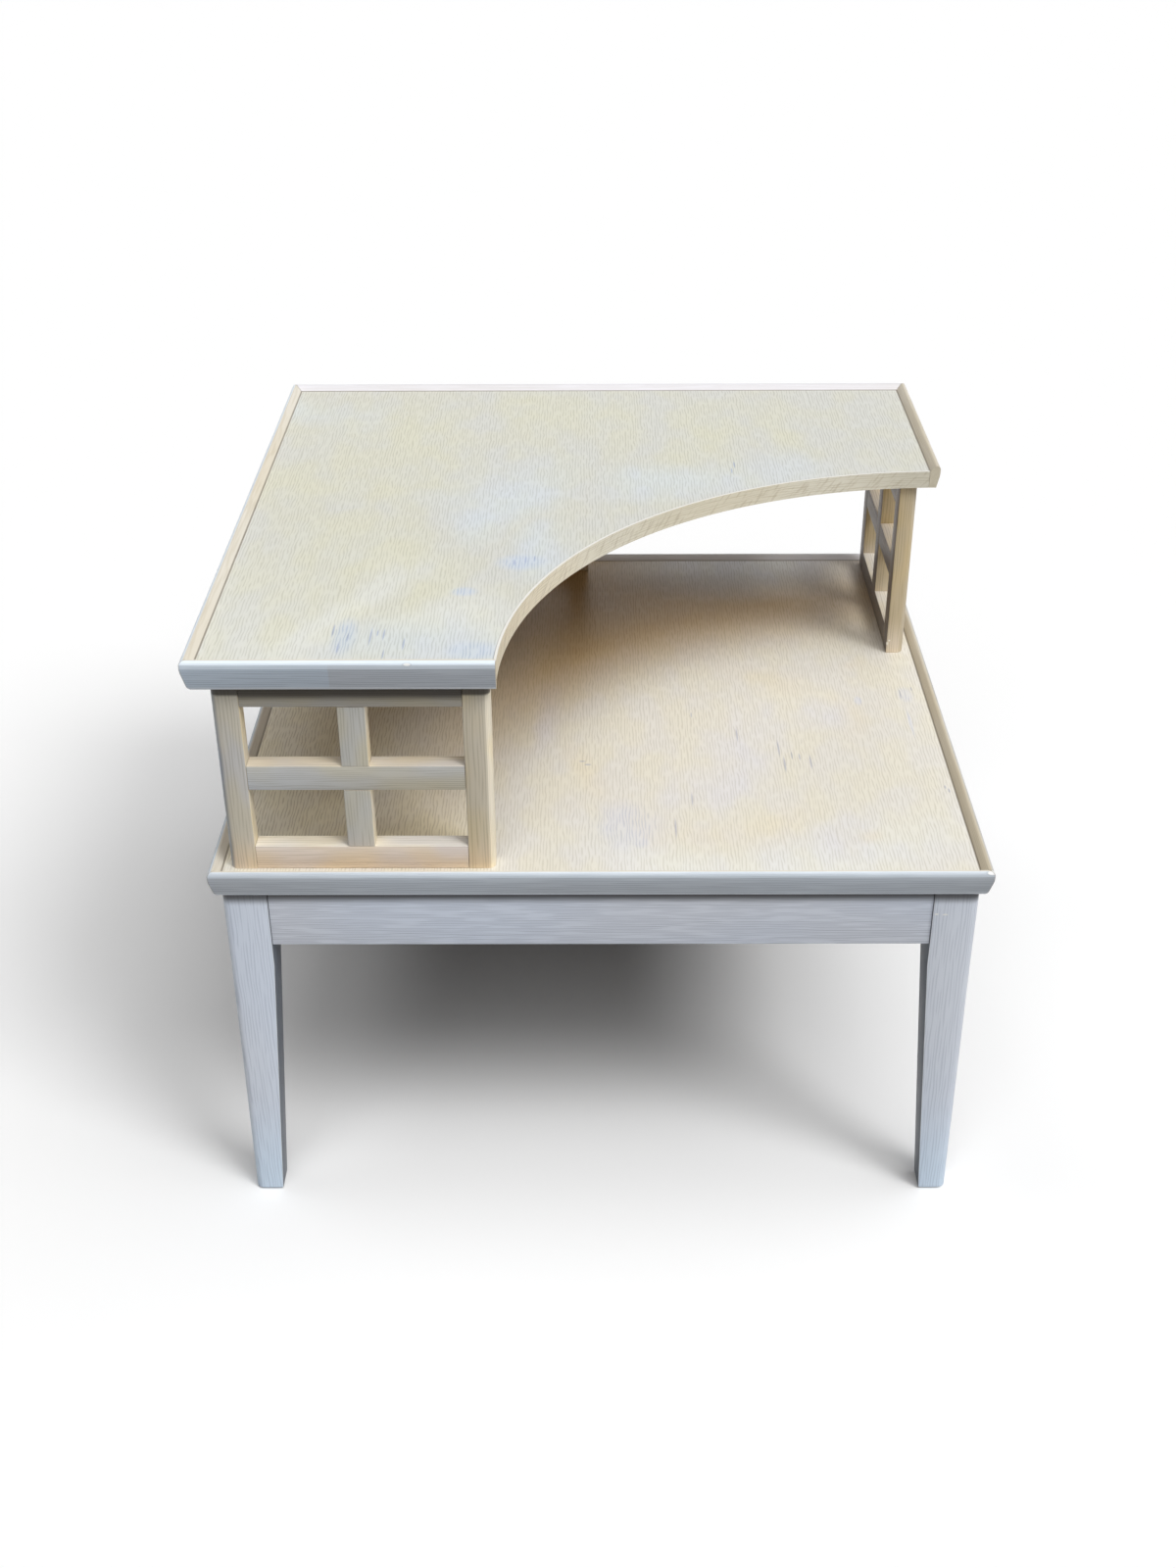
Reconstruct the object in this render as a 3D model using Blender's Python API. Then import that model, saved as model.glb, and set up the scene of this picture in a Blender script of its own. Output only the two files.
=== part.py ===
"""Two-tier corner table in limed oak.

A square lower deck stands on four tapered legs. An L-shaped upper deck, with a quarter circle cut out of
its front right corner, rides above it on three lattices. Metres, +Z up, front towards -Y, origin on the
floor under the middle of the table.
"""

import math

import bmesh
import bpy
from mathutils import Matrix, Vector

for old_object in list(bpy.data.objects):
    bpy.data.objects.remove(old_object, do_unlink=True)

# Whole table
SIDE = 0.762
LOWER_DECK_HEIGHT = 0.4096
TIER_RISE = 0.2286
PANEL_THICKNESS = 0.019
GAP = 0.0003

# Edge moulding, measured from its nose and from the deck beside it
EDGE_RISE = 0.006
EDGE_HANG = 0.0053
UPPER_EDGE_HANG = 0.0078
EDGE_LIP = 0.0115
EDGE_STOCK = 0.018
EDGE_CREST = 0.0055
EDGE_UPRIGHT = 0.010
EDGE_CANT = 0.005
EDGE_NOSE_RADIUS = 0.004
EDGE_BEND_RADIUS = 0.018
EDGE_FOOT_RADIUS = 0.008
EDGE_END_RELIEF = 0.022

# Quarter-circle cut-out of the upper deck
CUT_RADIUS = 0.47625
BAND_THICKNESS = 0.0025
CUT_SEGMENTS = 56

# Legs
LEG_INSET = 0.0095
LEG_TOP = 0.0445
LEG_FOOT = 0.029
LEG_SPLAY = 0.002
LEG_STRAIGHT = 0.025
LEG_ARRIS = 0.008
LEG_FOOT_EASE = 0.003

# Aprons, tenoned into the legs
APRON_SETBACK = 0.0025
APRON_THICKNESS = 0.020
APRON_HEIGHT = 0.062
TENON_THICKNESS = 0.010
TENON_HEIGHT = 0.040
TENON_LENGTH = 0.020

# Corner blocks behind the legs and their screws
BLOCK_HEIGHT = 0.036
BLOCK_WIDTH = 0.032
BLOCK_TO_LEG = 0.003
SCREW_SHANK = 0.004
SCREW_HEAD = 0.0084
SCREW_HEAD_DEPTH = 0.0026
SCREW_BITE = 0.012
SCREW_TIP = 0.004
SCREW_SLOT_WIDTH = 0.0012
SCREW_SLOT_DEPTH = 0.0011

# Lattices, set back from the inner face of the edge moulding
FRONT_LATTICE_SETBACK = 0.0007
SIDE_LATTICE_SETBACK = 0.004
LATTICE_END_SETBACK = 0.0025
LATTICE_WIDTH = 0.2585
BAR_WIDTH = 0.026
BAR_THICKNESS = 0.020
TOP_RAIL_HEIGHT = 0.031
MID_RAIL_HEIGHT = 0.026
BOTTOM_RAIL_HEIGHT = 0.0254
LATTICE_ARRIS = 0.008
STUB_THICKNESS = 0.008
STUB_LENGTH = 0.0085
STUB_SHOULDER = 0.005
BACK_LATTICE_END = -0.0137

# Dowels between the lattices and the decks
DOWEL_DIAMETER = 0.008
DOWEL_IN_PANEL = 0.0115
DOWEL_IN_STILE = 0.014
DOWEL_FROM_END = 0.0105
DOWEL_CHAMFER = 0.001
ROUND_SEGMENTS = 16

# Softened edges and how far a facet may stray from a true arc
EASE = 0.001
ARC_TOLERANCE = 0.00012
OVERCUT = 0.002

# Places worked out from the sizes above
HALF_SIDE = SIDE / 2
LOWER_PANEL_UNDERSIDE = LOWER_DECK_HEIGHT - PANEL_THICKNESS
UPPER_DECK_HEIGHT = LOWER_DECK_HEIGHT + TIER_RISE
UPPER_PANEL_UNDERSIDE = UPPER_DECK_HEIGHT - PANEL_THICKNESS
EDGE_UNDERSIDE = LOWER_PANEL_UNDERSIDE - EDGE_HANG
PANEL_HALF = HALF_SIDE - EDGE_LIP - GAP
BASE_TONGUE_INSET = EDGE_STOCK + GAP
BASE_SHOULDER = EDGE_UNDERSIDE - GAP
BASE_TOP = LOWER_PANEL_UNDERSIDE - GAP
APRON_BOTTOM = EDGE_UNDERSIDE - APRON_HEIGHT
APRON_INSET = LEG_INSET + APRON_SETBACK
LEG_TAPER_START = APRON_BOTTOM - LEG_STRAIGHT
LATTICE_HEIGHT = TIER_RISE - PANEL_THICKNESS - 2 * GAP
PANE_HEIGHT = (LATTICE_HEIGHT - TOP_RAIL_HEIGHT - MID_RAIL_HEIGHT - BOTTOM_RAIL_HEIGHT) / 2
MID_RAIL_LOW = BOTTOM_RAIL_HEIGHT + PANE_HEIGHT
TOP_RAIL_LOW = LATTICE_HEIGHT - TOP_RAIL_HEIGHT
EDGE_BACK = HALF_SIDE - EDGE_STOCK
FRONT_LATTICE_LINE = EDGE_BACK - FRONT_LATTICE_SETBACK
SIDE_LATTICE_LINE = EDGE_BACK - SIDE_LATTICE_SETBACK
LATTICE_END_LINE = EDGE_BACK - LATTICE_END_SETBACK

# Colours and gloss of the finish
OAK_DECK = (0.70, 0.66, 0.56)
OAK_EDGE = (0.42, 0.46, 0.50)
OAK_BAND = (0.62, 0.56, 0.42)
OAK_BASE = (0.45, 0.47, 0.50)
OAK_LATTICE = (0.45, 0.43, 0.37)
RAW_WOOD = (0.50, 0.38, 0.24)
STEEL = (0.55, 0.55, 0.56)
WOOD_ROUGHNESS = 0.6
STEEL_ROUGHNESS = 0.35
SHARP_ANGLE = math.radians(35)

CORNERS = ("front_left", "front_right", "back_right", "back_left")
SIDES = ("front", "right", "back", "left")
QUARTER_TURN = math.pi / 2


# Outlines


def rounded_outline(corners):
    """Closed outline through (x, y, radius) corners, with an arc at each corner that has a radius."""
    points = []
    for index, (x, y, radius) in enumerate(corners):
        corner = Vector((x, y))
        if radius <= 0:
            points.append(corner)
            continue
        to_last = Vector(corners[index - 1][:2]) - corner
        to_next = Vector(corners[(index + 1) % len(corners)][:2]) - corner
        half_angle = to_last.angle(to_next) / 2
        turn = math.pi - 2 * half_angle
        if (-to_last).cross(to_next) < 0:
            turn = -turn
        middle = (to_last.normalized() + to_next.normalized()).normalized()
        centre = corner + middle * (radius / math.sin(half_angle))
        first = corner + to_last.normalized() * (radius / math.tan(half_angle)) - centre
        steps = arc_steps(radius, turn)
        for step in range(steps + 1):
            points.append(centre + Matrix.Rotation(turn * step / steps, 2) @ first)
    return points


def arc_steps(radius, turn):
    """Number of flat facets that keep an arc within the tolerance."""
    facet_turn = 2 * math.acos(1 - min(1, ARC_TOLERANCE / radius))
    return max(1, math.ceil(abs(turn) / facet_turn))


def circle_outline(centre, diameter):
    """Closed outline of a drilled hole or a round pin."""
    turns = [2 * math.pi * step / ROUND_SEGMENTS for step in range(ROUND_SEGMENTS)]
    return [Vector(centre) + Vector((math.cos(turn), math.sin(turn))) * diameter / 2 for turn in turns]


def cut_out_arc(radius):
    """Points along the cut-out at a radius, from the front moulding to the right one."""
    centre = Vector((HALF_SIDE, -HALF_SIDE))
    end_turn = math.asin((HALF_SIDE - PANEL_HALF) / radius)
    first = math.pi - end_turn
    last = math.pi / 2 + end_turn
    turns = [first + (last - first) * step / CUT_SEGMENTS for step in range(CUT_SEGMENTS + 1)]
    return [centre + Vector((math.cos(turn), math.sin(turn))) * radius for turn in turns]


# Meshes


def finished_mesh(builder, name):
    """Mesh of a builder, with all its faces pointing outwards."""
    bmesh.ops.recalc_face_normals(builder, faces=builder.faces)
    mesh = bpy.data.meshes.new(name)
    builder.to_mesh(mesh)
    builder.free()
    return mesh


def loft(name, sections):
    """Closed body through sections, each a list of points in space with the same number of points."""
    builder = bmesh.new()
    rings = [[builder.verts.new(point) for point in section] for section in sections]
    builder.faces.new(rings[0])
    builder.faces.new(rings[-1])
    for near, far in zip(rings, rings[1:]):
        for index in range(len(near)):
            after = (index + 1) % len(near)
            builder.faces.new((near[index], near[after], far[after], far[index]))
    return finished_mesh(builder, name)


def upright_prism(name, outline, low, high):
    """An (x, y) outline pushed from one height to another."""
    return loft(name, [[(x, y, height) for x, y in outline] for height in (low, high)])


def lengthwise_prism(name, outline, left, right):
    """A (y, z) outline pushed along x."""
    return loft(name, [[(place, y, z) for y, z in outline] for place in (left, right)])


def block(name, low, high):
    """Plain box between two opposite corners."""
    outline = [(low[0], low[1]), (high[0], low[1]), (high[0], high[1]), (low[0], high[1])]
    return upright_prism(name, outline, low[2], high[2])


def turned(name, profile):
    """Round body on the z axis from (radius, z) points that start and end on the axis."""
    builder = bmesh.new()
    foot = builder.verts.new((0, 0, profile[0][1]))
    head = builder.verts.new((0, 0, profile[-1][1]))
    rings = []
    for radius, height in profile[1:-1]:
        outline = circle_outline((0, 0), 2 * radius)
        rings.append([builder.verts.new((x, y, height)) for x, y in outline])
    for index in range(ROUND_SEGMENTS):
        after = (index + 1) % ROUND_SEGMENTS
        builder.faces.new((foot, rings[0][after], rings[0][index]))
        builder.faces.new((head, rings[-1][index], rings[-1][after]))
        for near, far in zip(rings, rings[1:]):
            builder.faces.new((near[index], near[after], far[after], far[index]))
    return finished_mesh(builder, name)


def combine(body_mesh, tool_meshes, operation):
    """Body with each tool cut away (DIFFERENCE) or joined on (UNION)."""
    collection = bpy.context.collection
    body = bpy.data.objects.new(body_mesh.name, body_mesh)
    collection.objects.link(body)
    tools = []
    for tool_mesh in tool_meshes:
        tool = bpy.data.objects.new("tool", tool_mesh)
        collection.objects.link(tool)
        tools.append(tool)
        step = body.modifiers.new(operation.lower(), "BOOLEAN")
        step.operation = operation
        step.solver = "EXACT"
        step.object = tool
    bpy.context.view_layer.update()
    evaluated = body.evaluated_get(bpy.context.evaluated_depsgraph_get())
    result = bpy.data.meshes.new_from_object(evaluated)
    for scrap in [body] + tools:
        bpy.data.objects.remove(scrap, do_unlink=True)
    return result


def mirrored(mesh, middle):
    """Left-for-right copy of a mesh about a middle x."""
    copy = mesh.copy()
    copy.transform(Matrix.Translation((2 * middle, 0, 0)) @ Matrix.Diagonal((-1, 1, 1, 1)))
    copy.flip_normals()
    return copy


# Objects


def add_piece(name, mesh, colour, roughness=WOOD_ROUGHNESS, metallic=0.0):
    """Named object with its own finish."""
    piece = bpy.data.objects.new(name, mesh.copy())
    piece.data.name = name
    piece.data.shade_smooth()
    piece.data.set_sharp_from_angle(angle=SHARP_ANGLE)
    finish = bpy.data.materials.new(name)
    finish.use_nodes = True
    shader = finish.node_tree.nodes["Principled BSDF"]
    shader.inputs["Base Color"].default_value = (*colour, 1)
    shader.inputs["Roughness"].default_value = roughness
    shader.inputs["Metallic"].default_value = metallic
    piece.data.materials.clear()
    piece.data.materials.append(finish)
    bpy.context.collection.objects.link(piece)
    return piece


def add_around(names, mesh, colour, roughness=WOOD_ROUGHNESS, metallic=0.0):
    """The same piece at each of the four sides or corners, a quarter turn apart."""
    for index, name in enumerate(names):
        piece = add_piece(name, mesh, colour, roughness, metallic)
        piece.rotation_euler.z = index * QUARTER_TURN


# Legs


def leg_mesh():
    """Front left leg, splayed a little, with two mortises and the tongue inside the edge moulding."""
    corner = LEG_INSET - HALF_SIDE

    def section(size, splay, inset, height):
        low = corner - splay + inset
        high = corner - splay + size - inset
        outline = rounded_outline(
            [(low, low, LEG_ARRIS), (high, low, EASE), (high, high, EASE), (low, high, EASE)]
        )
        return [(x, y, height) for x, y in outline]

    leg = loft(
        "leg",
        [
            section(LEG_FOOT, LEG_SPLAY, LEG_FOOT_EASE, 0),
            section(LEG_FOOT, LEG_SPLAY, 0, LEG_FOOT_EASE),
            section(LEG_TOP, 0, 0, LEG_TAPER_START),
            section(LEG_TOP, 0, 0, BASE_TOP),
        ],
    )
    near = corner - OVERCUT
    far = corner + LEG_TOP + OVERCUT
    tongue = BASE_TONGUE_INSET - HALF_SIDE
    around_tongue = [(near, near), (far, near), (far, tongue), (tongue, tongue), (tongue, far), (near, far)]
    shoulder = upright_prism("shoulder", around_tongue, BASE_SHOULDER, BASE_TOP + OVERCUT)
    low, high = tenon_box(GAP)
    mortise_low = (corner + LEG_TOP - TENON_LENGTH - GAP, low[0], low[1])
    mortise_high = (far, high[0], high[1])
    front_mortise = block("mortise", mortise_low, mortise_high)
    side_low = (mortise_low[1], mortise_low[0], mortise_low[2])
    side_high = (mortise_high[1], mortise_high[0], mortise_high[2])
    side_mortise = block("mortise", side_low, side_high)
    return combine(leg, [shoulder, front_mortise, side_mortise], "DIFFERENCE")


def tenon_box(margin):
    """Lowest and highest (y, z) of the front apron's tenon, grown by a margin."""
    middle_y = APRON_INSET + APRON_THICKNESS / 2 - HALF_SIDE
    middle_z = APRON_BOTTOM + APRON_HEIGHT / 2
    half_y = TENON_THICKNESS / 2 + margin
    half_z = TENON_HEIGHT / 2 + margin
    return (middle_y - half_y, middle_z - half_z), (middle_y + half_y, middle_z + half_z)


# Aprons


def apron_mesh():
    """Front apron, tenoned at both ends and rebated along its top to clear the edge moulding."""
    outer = APRON_INSET - HALF_SIDE
    inner = outer + APRON_THICKNESS
    tongue = BASE_TONGUE_INSET - HALF_SIDE
    profile = rounded_outline(
        [
            (outer, APRON_BOTTOM, EASE),
            (inner, APRON_BOTTOM, EASE),
            (inner, BASE_TOP, 0),
            (tongue, BASE_TOP, 0),
            (tongue, BASE_SHOULDER, 0),
            (outer, BASE_SHOULDER, 0),
        ]
    )
    leg_face = HALF_SIDE - LEG_INSET - LEG_TOP
    end = leg_face - GAP
    apron = lengthwise_prism("apron", profile, -end, end)
    low, high = tenon_box(0)
    tip = leg_face + TENON_LENGTH
    tenons = [
        block("tenon", (-tip, *low), (-end + OVERCUT, *high)),
        block("tenon", (end - OVERCUT, *low), (tip, *high)),
    ]
    return combine(apron, tenons, "UNION")


# Corner blocks and their screws


def block_centre():
    """Middle of the front left corner block, the place of its screw."""
    near, far = block_reach()
    middle = block_corner() + (near + far) / 4
    return middle, middle


def block_corner():
    """Place along x and y where the inner faces of two aprons would meet."""
    return APRON_INSET + APRON_THICKNESS + GAP - HALF_SIDE


def block_reach():
    """How far along an apron the front left block starts and ends, from that corner."""
    leg_inner_corner = LEG_INSET + LEG_TOP - HALF_SIDE - block_corner()
    near = 2 * leg_inner_corner + BLOCK_TO_LEG
    return near, near + BLOCK_WIDTH * math.sqrt(2)


def corner_block_mesh():
    """Front left corner block: a diagonal brace between two aprons, drilled for its screw."""
    corner = block_corner()
    near, far = block_reach()
    outline = [
        (corner + near, corner),
        (corner + far, corner),
        (corner, corner + far),
        (corner, corner + near),
    ]
    low = BASE_TOP - BLOCK_HEIGHT
    body = upright_prism("corner_block", outline, low, BASE_TOP)
    hole = screw_body("screw_hole", GAP, low - OVERCUT, BASE_TOP + OVERCUT)
    return combine(body, [hole], "DIFFERENCE")


def screw_body(name, margin, low, high):
    """Round body of the block screw, grown by a margin and stretched from one height to another."""
    seat = BASE_TOP - BLOCK_HEIGHT
    shank = SCREW_SHANK / 2 + margin
    head = SCREW_HEAD / 2 + margin
    body = turned(
        name,
        [(0, low), (head, low), (head, seat), (shank, seat + SCREW_HEAD_DEPTH), (shank, high), (0, high)],
    )
    body.transform(Matrix.Translation((*block_centre(), 0)))
    return body


def screw_mesh():
    """Countersunk slotted screw, head down in the corner block and tip in the lower panel."""
    seat = BASE_TOP - BLOCK_HEIGHT
    tip = BASE_TOP + SCREW_BITE
    shank = SCREW_SHANK / 2
    screw = turned(
        "screw",
        [
            (0, seat),
            (SCREW_HEAD / 2, seat),
            (shank, seat + SCREW_HEAD_DEPTH),
            (shank, tip - SCREW_TIP),
            (shank / 2, tip),
            (0, tip),
        ],
    )
    half_slot = SCREW_SLOT_WIDTH / 2
    slot = block(
        "slot",
        (-SCREW_HEAD, -half_slot, seat - OVERCUT),
        (SCREW_HEAD, half_slot, seat + SCREW_SLOT_DEPTH),
    )
    screw = combine(screw, [slot], "DIFFERENCE")
    screw.transform(Matrix.Translation((*block_centre(), 0)))
    return screw


def screw_holes():
    """Pilot holes for the four block screws in the lower panel."""
    holes = []
    for index in range(len(CORNERS)):
        tip = BASE_TOP + SCREW_BITE + GAP
        outline = circle_outline(block_centre(), SCREW_SHANK + 2 * GAP)
        hole = upright_prism("pilot_hole", outline, LOWER_PANEL_UNDERSIDE - OVERCUT, tip)
        hole.transform(Matrix.Rotation(index * QUARTER_TURN, 4, "Z"))
        holes.append(hole)
    return holes


# Edge mouldings


def edge_profile(deck_height, hang):
    """Section of the front moulding as (y, z): lip, canted face, hanging foot, ledge under the panel."""
    nose = -HALF_SIDE
    crest = deck_height + EDGE_RISE
    ledge = deck_height - PANEL_THICKNESS - GAP
    foot = deck_height - PANEL_THICKNESS - hang
    return rounded_outline(
        [
            (nose, crest, EDGE_NOSE_RADIUS),
            (nose, crest - EDGE_UPRIGHT, EDGE_BEND_RADIUS),
            (nose + EDGE_CANT, foot, EDGE_FOOT_RADIUS),
            (nose + EDGE_STOCK, foot, 0),
            (nose + EDGE_STOCK, ledge, 0),
            (nose + EDGE_LIP, ledge, 0),
            (nose + EDGE_LIP, deck_height, 0),
            (nose + EDGE_CREST, crest, EASE),
        ]
    )


def edge_mesh(deck_height, hang, left_cut=None, right_cut=None):
    """Front moulding, mitred at each corner of the table or cut square at a given x."""
    mitre_gap = GAP / math.sqrt(2)
    left_end = []
    right_end = []
    for y, z in edge_profile(deck_height, hang):
        mitre = -y - mitre_gap
        left_end.append((-mitre if left_cut is None else left_cut, y, z))
        right_end.append((mitre if right_cut is None else right_cut, y, z))
    return loft("edge", [left_end, right_end])


def right_edge_mesh():
    """Right moulding of the upper deck, its foot and ledge cut back where it ends at the cut-out."""
    end = CUT_RADIUS - HALF_SIDE
    edge = edge_mesh(UPPER_DECK_HEIGHT, UPPER_EDGE_HANG, left_cut=end)
    relief = block(
        "relief",
        (end - OVERCUT, -HALF_SIDE - OVERCUT, UPPER_PANEL_UNDERSIDE - UPPER_EDGE_HANG - OVERCUT),
        (end + EDGE_END_RELIEF, OVERCUT + EDGE_STOCK - HALF_SIDE, UPPER_PANEL_UNDERSIDE),
    )
    return combine(edge, [relief], "DIFFERENCE")


# Decks


def lower_panel_mesh():
    """Square lower deck, drilled for the lattice dowels and the block screws."""
    edge = PANEL_HALF
    panel = block("lower_panel", (-edge, -edge, LOWER_PANEL_UNDERSIDE), (edge, edge, LOWER_DECK_HEIGHT))
    low = LOWER_DECK_HEIGHT - DOWEL_IN_PANEL - GAP
    holes = dowel_holes(low, LOWER_DECK_HEIGHT + OVERCUT)
    return combine(panel, holes + screw_holes(), "DIFFERENCE")


def upper_panel_mesh():
    """L-shaped upper deck behind the curved band, drilled from below for the lattice dowels."""
    edge = PANEL_HALF
    outline = cut_out_arc(CUT_RADIUS + BAND_THICKNESS + GAP)
    outline += [Vector((edge, edge)), Vector((-edge, edge)), Vector((-edge, -edge))]
    panel = upright_prism("upper_panel", outline, UPPER_PANEL_UNDERSIDE, UPPER_DECK_HEIGHT)
    high = UPPER_PANEL_UNDERSIDE + DOWEL_IN_PANEL + GAP
    return combine(panel, dowel_holes(UPPER_PANEL_UNDERSIDE - OVERCUT, high), "DIFFERENCE")


def band_mesh():
    """Curved strip along the cut-out, between the two short mouldings."""
    outline = cut_out_arc(CUT_RADIUS) + cut_out_arc(CUT_RADIUS + BAND_THICKNESS)[::-1]
    return upright_prism("cutout_band", outline, UPPER_PANEL_UNDERSIDE, UPPER_DECK_HEIGHT)


# Lattices, in their own frame: x along the width, y from the outer face inwards, z up from the deck


def rail_stub(low, height, margin):
    """Lowest and highest (y, z) of the stub tenon of a rail, grown by a margin."""
    half = STUB_THICKNESS / 2 + margin
    middle = BAR_THICKNESS / 2
    foot = low + STUB_SHOULDER - margin
    head = low + height - STUB_SHOULDER + margin
    return (middle - half, foot), (middle + half, head)


def rail_places():
    """Lower edge and height of the bottom, mid and top rail."""
    return ((0, BOTTOM_RAIL_HEIGHT), (MID_RAIL_LOW, MID_RAIL_HEIGHT), (TOP_RAIL_LOW, TOP_RAIL_HEIGHT))


def stile_mesh():
    """Left stile, rounded on its outer arris, with mortises for the rails and a dowel hole at each end."""
    outline = rounded_outline(
        [
            (0, 0, LATTICE_ARRIS),
            (BAR_WIDTH, 0, EASE),
            (BAR_WIDTH, BAR_THICKNESS, EASE),
            (0, BAR_THICKNESS, EASE),
        ]
    )
    stile = upright_prism("stile", outline, 0, LATTICE_HEIGHT)
    cuts = []
    for low, height in rail_places():
        near, far = rail_stub(low, height, GAP)
        cuts.append(block("mortise", (BAR_WIDTH - STUB_LENGTH - GAP, *near), (BAR_WIDTH + OVERCUT, *far)))
    hole = circle_outline((DOWEL_FROM_END, BAR_THICKNESS / 2), DOWEL_DIAMETER + 2 * GAP)
    depth = DOWEL_IN_STILE + GAP
    cuts.append(upright_prism("dowel_hole", hole, -OVERCUT, depth))
    cuts.append(upright_prism("dowel_hole", hole, LATTICE_HEIGHT - depth, LATTICE_HEIGHT + OVERCUT))
    return combine(stile, cuts, "DIFFERENCE")


def rail_mesh(low, height):
    """Rail between the stiles with a stub tenon at each end."""
    high = low + height
    outline = rounded_outline(
        [(0, low, EASE), (BAR_THICKNESS, low, EASE), (BAR_THICKNESS, high, EASE), (0, high, EASE)]
    )
    left = BAR_WIDTH + GAP
    right = LATTICE_WIDTH - left
    rail = lengthwise_prism("rail", outline, left, right)
    near, far = rail_stub(low, height, 0)
    tip = BAR_WIDTH - STUB_LENGTH
    stubs = [
        block("stub", (tip, *near), (left + OVERCUT, *far)),
        block("stub", (right - OVERCUT, *near), (LATTICE_WIDTH - tip, *far)),
    ]
    return combine(rail, stubs, "UNION")


def muntin_stub(margin):
    """Lowest and highest (x, y) of the muntin's stub tenons, grown by a margin."""
    middle = LATTICE_WIDTH / 2
    half_x = BAR_WIDTH / 2 - STUB_SHOULDER + margin
    half_y = STUB_THICKNESS / 2 + margin
    centre_y = BAR_THICKNESS / 2
    return (middle - half_x, centre_y - half_y), (middle + half_x, centre_y + half_y)


def outer_rail_mesh(low, height, muntin_side):
    """Top or bottom rail with a mortise for the muntin in the edge that faces the panes."""
    near, far = muntin_stub(GAP)
    depth = STUB_LENGTH + GAP
    if muntin_side > 0:
        heights = (low + height - depth, low + height + OVERCUT)
    else:
        heights = (low - OVERCUT, low + depth)
    mortise = block("mortise", (*near, heights[0]), (*far, heights[1]))
    return combine(rail_mesh(low, height), [mortise], "DIFFERENCE")


def mid_rail_mesh():
    """Mid rail, halved at the back where it laps over the muntin."""
    middle = LATTICE_WIDTH / 2
    half = BAR_WIDTH / 2 + GAP
    lap = block(
        "lap",
        (middle - half, BAR_THICKNESS / 2 - GAP / 2, MID_RAIL_LOW - OVERCUT),
        (middle + half, BAR_THICKNESS + OVERCUT, MID_RAIL_LOW + MID_RAIL_HEIGHT + OVERCUT),
    )
    return combine(rail_mesh(MID_RAIL_LOW, MID_RAIL_HEIGHT), [lap], "DIFFERENCE")


def muntin_mesh():
    """Upright bar in the middle, halved at the front for the mid rail, tenoned into the outer rails."""
    left = (LATTICE_WIDTH - BAR_WIDTH) / 2
    right = left + BAR_WIDTH
    outline = rounded_outline(
        [(left, 0, EASE), (right, 0, EASE), (right, BAR_THICKNESS, EASE), (left, BAR_THICKNESS, EASE)]
    )
    foot = BOTTOM_RAIL_HEIGHT + GAP
    head = TOP_RAIL_LOW - GAP
    muntin = upright_prism("muntin", outline, foot, head)
    near, far = muntin_stub(0)
    stubs = [
        block("stub", (*near, BOTTOM_RAIL_HEIGHT - STUB_LENGTH), (*far, foot + OVERCUT)),
        block("stub", (*near, head - OVERCUT), (*far, TOP_RAIL_LOW + STUB_LENGTH)),
    ]
    lap = block(
        "lap",
        (left - OVERCUT, -OVERCUT, MID_RAIL_LOW - GAP),
        (right + OVERCUT, BAR_THICKNESS / 2 + GAP / 2, MID_RAIL_LOW + MID_RAIL_HEIGHT + GAP),
    )
    return combine(combine(muntin, stubs, "UNION"), [lap], "DIFFERENCE")


def dowel_mesh():
    """Lower dowel of the left stile, from inside the deck to inside the stile."""
    radius = DOWEL_DIAMETER / 2
    low = -GAP - DOWEL_IN_PANEL
    high = DOWEL_IN_STILE
    dowel = turned(
        "dowel",
        [
            (0, low),
            (radius - DOWEL_CHAMFER, low),
            (radius, low + DOWEL_CHAMFER),
            (radius, high - DOWEL_CHAMFER),
            (radius - DOWEL_CHAMFER, high),
            (0, high),
        ],
    )
    dowel.transform(Matrix.Translation((DOWEL_FROM_END, BAR_THICKNESS / 2, 0)))
    return dowel


def lattice_places():
    """Name, foot corner and turn of each lattice."""
    seat = LOWER_DECK_HEIGHT + GAP
    return (
        ("front", (-LATTICE_END_LINE, -FRONT_LATTICE_LINE, seat), 0),
        ("right", (SIDE_LATTICE_LINE, LATTICE_END_LINE - LATTICE_WIDTH, seat), QUARTER_TURN),
        ("back", (BACK_LATTICE_END, SIDE_LATTICE_LINE, seat), 2 * QUARTER_TURN),
    )


def dowel_holes(low, high):
    """Holes for all lattice dowels in a deck, between two heights."""
    holes = []
    for _, corner, turn in lattice_places():
        for along in (DOWEL_FROM_END, LATTICE_WIDTH - DOWEL_FROM_END):
            centre = Vector((along, BAR_THICKNESS / 2))
            centre = Matrix.Rotation(turn, 2) @ centre + Vector(corner[:2])
            outline = circle_outline((0, 0), DOWEL_DIAMETER + 2 * GAP)
            hole = upright_prism("dowel_hole", outline, low, high)
            hole.transform(Matrix.Rotation(turn, 4, "Z"))
            hole.transform(Matrix.Translation((*centre, 0)))
            holes.append(hole)
    return holes


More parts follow.
